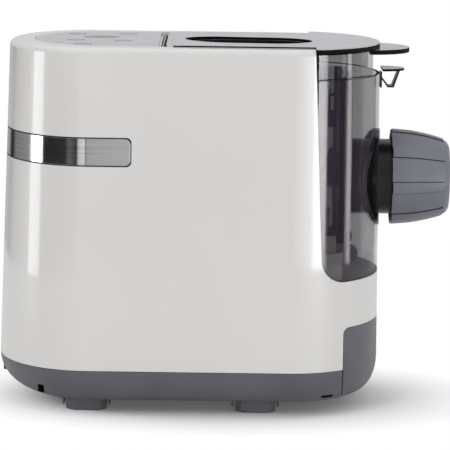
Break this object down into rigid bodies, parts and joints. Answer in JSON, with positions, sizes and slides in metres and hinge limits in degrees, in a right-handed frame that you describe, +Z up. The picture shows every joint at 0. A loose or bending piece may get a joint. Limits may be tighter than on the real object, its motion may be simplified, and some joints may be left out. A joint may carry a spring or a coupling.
{
  "type": "electric pasta maker",
  "caption": "Countertop electric pasta maker: tall rounded housing with hinged lid, pull-out mixing chamber, smoke front panel, horizontal nozzle with locking nut and storage drawer.",
  "frame": {"origin": "middle of the overall length and width, on the floor under the feet", "axes": "+X towards the nozzle and locking nut, +Y to the left seen from the motor end, +Z up"},
  "size_m": [0.356, 0.2, 0.287],
  "materials": {
    "pearl_white": "glossy pearl white, slightly warm",
    "base_grey": "satin mid grey with fine grain",
    "nut_grey": "satin blue grey",
    "silver_grey": "satin metallic silver grey",
    "stainless": "brushed along the band",
    "black_gloss": "glossy black",
    "dark_plastic": "matte dark grey",
    "smoke": "clear smoke tinted plastic",
    "rubber": "matte",
    "steel": "plain",
    "rotor_iron": "laminations and varnished winding",
    "bearing_brass": "plain",
    "nylon": "off white",
    "board_green": "circuit board"
  },
  "bodies": {
    "base": {"main_housing": "pearl_white", "base_pan": "base_grey", "inner_frame": "dark_plastic", "stainless_band": "stainless", "control_panel": "silver_grey", "display_lens": "black_gloss", "control_board": "board_green", "lid_sensor": "black_gloss", "motor_stator": "steel", "motor_mount": "dark_plastic", "gearbox_housing": "dark_plastic", "gearbox_cover": "dark_plastic", "shaft_bearing": "bearing_brass", "idler_axle": "steel", "drawer_runner_right": "nylon", "drawer_runner_left": "nylon", "foot_rear_right": "base_grey", "foot_front_right": "base_grey", "foot_rear_left": "base_grey", "foot_front_left": "base_grey", "base_screw_rear_right": "steel", "base_screw_front_right": "steel", "base_screw_rear_left": "steel", "base_screw_front_left": "steel", "cord_grommet": "rubber"},
    "motor": {"motor_rotor": "rotor_iron", "motor_pinion": "steel", "cooling_fan": "dark_plastic"},
    "idler": {"idler_gear": "nylon"},
    "drive": {"output_gear": "nylon", "drive_shaft": "steel"},
    "chamber": {"mixing_chamber": "smoke", "chamber_seal": "rubber"},
    "paddle": {"kneading_paddle": "nylon", "extrusion_screw": "nylon"},
    "front": {"extruder_head": "black_gloss", "front_seal": "rubber", "front_panel": "smoke", "nozzle_collar": "black_gloss", "shaping_disc": "nylon"},
    "nut": {"locking_nut": "nut_grey"},
    "latch": {"panel_latch": "smoke"},
    "lid": {"lid_cover": "silver_grey", "lid_frame": "smoke", "lid_window": "smoke", "lid_magnet": "steel", "hinge_pin_right": "steel", "hinge_pin_left": "steel"},
    "drawer": {"drawer_front": "base_grey", "drawer_tray": "dark_plastic", "spare_disc_1": "nylon", "spare_disc_2": "nylon", "spare_disc_3": "nylon", "spare_disc_4": "nylon"},
    "power_key": {"button_power": "silver_grey"},
    "program_key": {"button_program": "silver_grey"},
    "weight_key": {"button_weight": "silver_grey"},
    "start_key": {"button_start": "silver_grey"},
    "extrude_key": {"button_extrude": "silver_grey"}
  },
  "joints": [
    {"name": "lid_hinge", "type": "hinge", "parent": "base", "child": "lid", "pos_m": [-0.0464, 0, 0.2814], "axis": [0, -1, 0], "range_deg": [0, 85]},
    {"name": "chamber_slide", "type": "slide", "parent": "base", "child": "chamber", "axis": [1, 0, 0], "range_m": [0, 0.16]},
    {"name": "panel_slide", "type": "slide", "parent": "chamber", "child": "front", "axis": [1, 0, 0], "range_m": [0, 0.09]},
    {"name": "nut_turn", "type": "hinge", "parent": "front", "child": "nut", "pos_m": [0.15, 0, 0.179], "axis": [1, 0, 0], "range_deg": [0, 60]},
    {"name": "latch_press", "type": "hinge", "parent": "front", "child": "latch", "pos_m": [0.1228, 0, 0.252], "axis": [0, 1, 0], "range_deg": [0, 5], "stiffness_Nm_per_rad": 1.5},
    {"name": "drawer_slide", "type": "slide", "parent": "base", "child": "drawer", "axis": [1, 0, 0], "range_m": [0, 0.085]},
    {"name": "power_press", "type": "slide", "parent": "base", "child": "power_key", "axis": [0, 0, -1], "range_m": [0, 0.0012], "stiffness_N_per_m": 400, "springref_m": -0.0004},
    {"name": "program_press", "type": "slide", "parent": "base", "child": "program_key", "axis": [0, 0, -1], "range_m": [0, 0.0012], "stiffness_N_per_m": 400, "springref_m": -0.0004},
    {"name": "weight_press", "type": "slide", "parent": "base", "child": "weight_key", "axis": [0, 0, -1], "range_m": [0, 0.0012], "stiffness_N_per_m": 400, "springref_m": -0.0004},
    {"name": "start_press", "type": "slide", "parent": "base", "child": "start_key", "axis": [0, 0, -1], "range_m": [0, 0.0012], "stiffness_N_per_m": 400, "springref_m": -0.0004},
    {"name": "extrude_press", "type": "slide", "parent": "base", "child": "extrude_key", "axis": [0, 0, -1], "range_m": [0, 0.0012], "stiffness_N_per_m": 400, "springref_m": -0.0004},
    {"name": "motor_spin", "type": "hinge", "parent": "base", "child": "motor", "pos_m": [-0.12, 0, 0.092], "axis": [1, 0, 0], "continuous": true},
    {"name": "idler_spin", "type": "hinge", "parent": "base", "child": "idler", "pos_m": [-0.072, 0, 0.137], "axis": [1, 0, 0], "continuous": true},
    {"name": "drive_spin", "type": "hinge", "parent": "base", "child": "drive", "pos_m": [-0.06, 0, 0.179], "axis": [1, 0, 0], "continuous": true},
    {"name": "paddle_spin", "type": "hinge", "parent": "chamber", "child": "paddle", "pos_m": [0.02, 0, 0.179], "axis": [1, 0, 0], "continuous": true}
  ],
  "couplings": [
    {"joint": "idler_spin", "follows": "motor_spin", "ratio": -0.25},
    {"joint": "drive_spin", "follows": "motor_spin", "ratio": 0.078125},
    {"joint": "paddle_spin", "follows": "motor_spin", "ratio": 0.078125}
  ]
}
